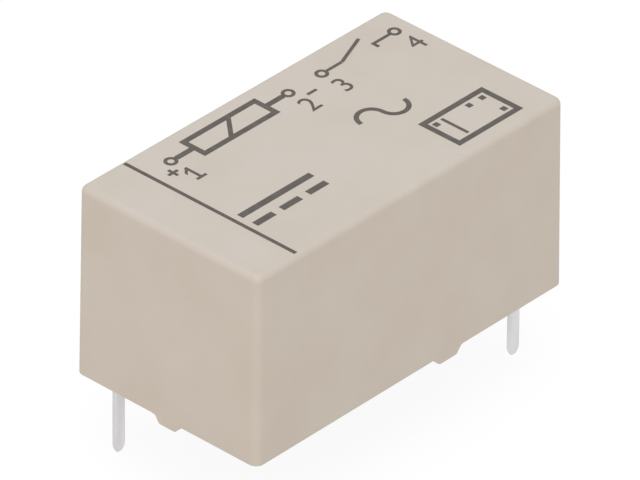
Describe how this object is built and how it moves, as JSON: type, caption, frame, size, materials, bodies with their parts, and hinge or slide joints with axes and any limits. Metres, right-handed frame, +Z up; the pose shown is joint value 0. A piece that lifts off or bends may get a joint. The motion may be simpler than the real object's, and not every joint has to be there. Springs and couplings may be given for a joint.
{
  "type": "pcb power relay",
  "caption": "Sealed miniature power relay: drafted box cover with stand-off feet and flat solder pins; inside, a polarised balanced armature drives a leaf contact.",
  "frame": {"origin": "centre of the whole part's box at the level of the four pin tips", "axes": "+X along the length from the coil end to the contact end, +Y across, +Z up out of the board"},
  "size_m": [0.0202, 0.011, 0.0139],
  "materials": {
    "cover_plastic": "satin moulded engineering plastic",
    "base_plastic": "satin moulded engineering plastic",
    "coil_plastic": "satin moulded engineering plastic",
    "epoxy_resin": "glossy poured epoxy",
    "soft_iron": "plated soft iron",
    "magnet": "sintered magnet",
    "enamelled_copper": "enamelled copper wire",
    "polyester_tape": "thin polyester tape",
    "tinned_copper": "hot-dip tinned",
    "solder": "bright solder",
    "spring_copper_alloy": "rolled spring strip",
    "silver_alloy": "headed silver alloy",
    "shim_brass": "rolled strip"
  },
  "bodies": {
    "root": {"cover": "cover_plastic", "base": "base_plastic", "sealing_resin": "epoxy_resin", "bobbin": "coil_plastic", "coil_winding": "enamelled_copper", "coil_tape": "polyester_tape", "coil_lead_positive": "enamelled_copper", "coil_lead_negative": "enamelled_copper", "coil_joint_positive": "solder", "coil_joint_negative": "solder", "coil_terminal_positive": "tinned_copper", "coil_terminal_negative": "tinned_copper", "spring_terminal": "tinned_copper", "fixed_contact_terminal": "tinned_copper", "iron_core": "soft_iron", "permanent_magnet": "magnet", "spring_root": "spring_copper_alloy", "spring_rivet": "silver_alloy", "fixed_contact": "silver_alloy"},
    "armature": {"armature": "soft_iron", "armature_carrier": "base_plastic", "actuator_card": "coil_plastic", "residual_shim": "shim_brass"},
    "contact_arm": {"contact_spring": "spring_copper_alloy", "moving_contact": "silver_alloy"}
  },
  "joints": [
    {"name": "armature_tilt", "type": "hinge", "parent": "root", "child": "armature", "pos_m": [-0.0025, 0, 0.00627], "axis": [0, -1, 0], "range_deg": [0, 1.4], "stiffness_Nm_per_rad": 0.0002},
    {"name": "contact_spring_flex", "type": "hinge", "parent": "root", "child": "contact_arm", "pos_m": [0.0081, 0.00236, 0.00923], "axis": [-1, 0, 0], "range_deg": [0, 6.3], "stiffness_Nm_per_rad": 0.00002}
  ],
  "couplings": [
    {"joint": "contact_spring_flex", "follows": "armature_tilt", "ratio": 4.4915}
  ]
}
